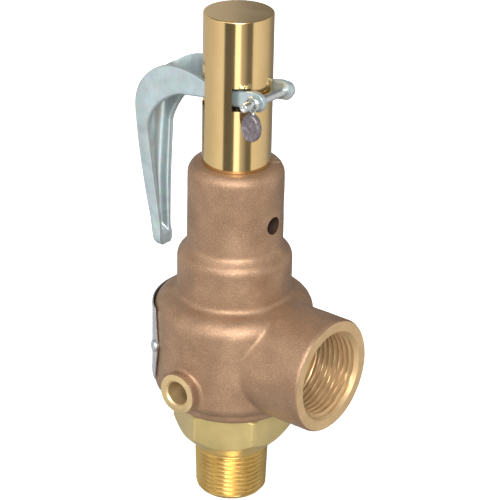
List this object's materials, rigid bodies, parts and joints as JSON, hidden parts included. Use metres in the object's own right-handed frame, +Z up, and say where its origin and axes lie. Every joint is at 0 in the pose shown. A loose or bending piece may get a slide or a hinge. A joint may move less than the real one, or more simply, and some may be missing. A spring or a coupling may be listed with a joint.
{
  "type": "pressure relief valve",
  "caption": "Side-outlet pressure relief valve with a threaded inlet below, a larger threaded outlet at the side, a tall cap and a hooked lift lever.",
  "frame": {"origin": "centre of the inlet thread's lower end", "axes": "+Z up the valve's axis, +X out of the outlet, -Y out of the drain boss, lever handle at -X"},
  "size_m": [0.0856, 0.0611, 0.1873],
  "materials": {
    "cast_bronze": "sand cast, dull",
    "machined_brass": "turned, satin",
    "polished_brass": "polished, fine lengthwise brushing",
    "zinc_lever": "zinc plated pressing",
    "zinc_steel": "zinc plated",
    "stainless": "bright",
    "spring_steel": "oiled wire",
    "lead": "dull pressed lead",
    "plate_metal": "thin rolled sheet"
  },
  "bodies": {
    "body": {"valve_body": "cast_bronze", "inlet_nozzle": "machined_brass", "regulating_ring": "machined_brass", "ring_set_screw": "zinc_steel", "upper_spring_step": "machined_brass", "spring": "spring_steel", "compression_screw": "machined_brass", "compression_locknut": "machined_brass", "cap": "polished_brass", "nameplate": "plate_metal", "nameplate_screws": "stainless"},
    "spindle": {"spindle": "stainless", "lower_spring_step": "machined_brass", "disc_holder": "machined_brass", "seat_disc": "stainless", "lift_washer": "zinc_steel", "spindle_nut": "zinc_steel", "spindle_jam_nut": "zinc_steel"},
    "lever": {"lever": "zinc_lever", "lever_pin": "stainless"},
    "seal": {"seal_wire": "stainless", "lead_seal": "lead"}
  },
  "joints": [
    {"name": "lever_lift", "type": "hinge", "parent": "body", "child": "lever", "pos_m": [0.0093, 0, 0.15665], "axis": [0, 1, 0], "range_deg": [0, 14]},
    {"name": "spindle_lift", "type": "slide", "parent": "body", "child": "spindle", "axis": [0, 0, 1], "range_m": [0, 0.0041], "deforming": ["spring"]},
    {"name": "seal_swing", "type": "hinge", "parent": "lever", "child": "seal", "pos_m": [0.0148, -0.0106, 0.1597], "axis": [0, 1, 0], "range_deg": [-60, 20]}
  ],
  "couplings": [
    {"joint": "spindle_lift", "follows": "lever_lift", "m_per_rad": 0.0165}
  ]
}
